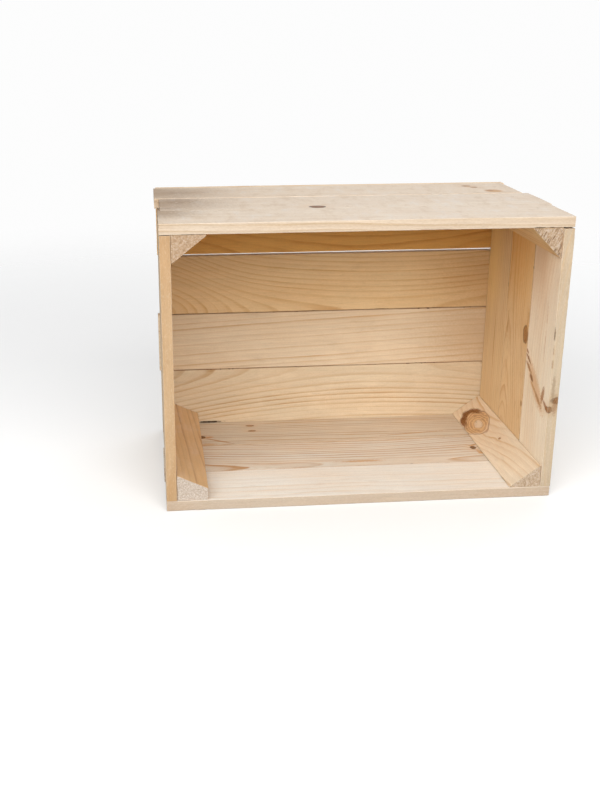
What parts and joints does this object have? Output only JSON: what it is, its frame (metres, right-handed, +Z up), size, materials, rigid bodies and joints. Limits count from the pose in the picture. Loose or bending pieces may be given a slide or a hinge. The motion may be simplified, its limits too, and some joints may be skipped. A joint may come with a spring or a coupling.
{
  "type": "apple crate",
  "caption": "Open-topped wooden apple crate lying on its long side, sawn pine boards nailed to triangular corner posts.",
  "frame": {"origin": "middle of the footprint, on the outside face of the long side that the crate lies on", "axes": "+X along the long boards, +Y from the open mouth to the crate's bottom boards, +Z up with the crate lying on a long side"},
  "size_m": [0.486, 0.28, 0.352],
  "materials": {
    "long_side_boards": "raw sawn pine, matt",
    "short_side_boards": "raw sawn pine, matt",
    "bottom_boards": "raw sawn pine, matt",
    "posts": "raw sawn pine, matt",
    "nails": "dull steel"
  },
  "bodies": {
    "root": {"bottom_board_1": "bottom_boards", "bottom_board_2": "bottom_boards", "bottom_board_3": "bottom_boards", "bottom_board_4": "bottom_boards", "corner_post_low_left": "posts", "corner_post_low_right": "posts", "corner_post_top_left": "posts", "corner_post_top_right": "posts", "long_side_low_front": "long_side_boards", "long_side_low_middle": "long_side_boards", "long_side_low_rear": "long_side_boards", "long_side_top_front": "long_side_boards", "long_side_top_middle": "long_side_boards", "long_side_top_rear": "long_side_boards", "nail_bottom_1_left_lower": "nails", "nail_bottom_1_left_upper": "nails", "nail_bottom_1_right_lower": "nails", "nail_bottom_1_right_upper": "nails", "nail_bottom_2_left_lower": "nails", "nail_bottom_2_left_upper": "nails", "nail_bottom_2_right_lower": "nails", "nail_bottom_2_right_upper": "nails", "nail_bottom_3_left_lower": "nails", "nail_bottom_3_left_upper": "nails", "nail_bottom_3_right_lower": "nails", "nail_bottom_3_right_upper": "nails", "nail_bottom_4_left_lower": "nails", "nail_bottom_4_left_upper": "nails", "nail_bottom_4_right_lower": "nails", "nail_bottom_4_right_upper": "nails", "nail_long_low_left_front": "nails", "nail_long_low_left_middle": "nails", "nail_long_low_left_rear": "nails", "nail_long_low_right_front": "nails", "nail_long_low_right_middle": "nails", "nail_long_low_right_rear": "nails", "nail_long_top_left_front": "nails", "nail_long_top_left_middle": "nails", "nail_long_top_left_rear": "nails", "nail_long_top_right_front": "nails", "nail_long_top_right_middle": "nails", "nail_long_top_right_rear": "nails", "nail_short_low_left_front": "nails", "nail_short_low_left_middle": "nails", "nail_short_low_left_rear": "nails", "nail_short_low_right_front": "nails", "nail_short_low_right_middle": "nails", "nail_short_low_right_rear": "nails", "nail_short_top_left_front": "nails", "nail_short_top_left_middle": "nails", "nail_short_top_left_rear": "nails", "nail_short_top_right_front": "nails", "nail_short_top_right_middle": "nails", "nail_short_top_right_rear": "nails", "short_side_left_front": "short_side_boards", "short_side_left_middle": "short_side_boards", "short_side_left_rear": "short_side_boards", "short_side_right_front": "short_side_boards", "short_side_right_middle": "short_side_boards", "short_side_right_rear": "short_side_boards"}
  },
  "joints": []
}
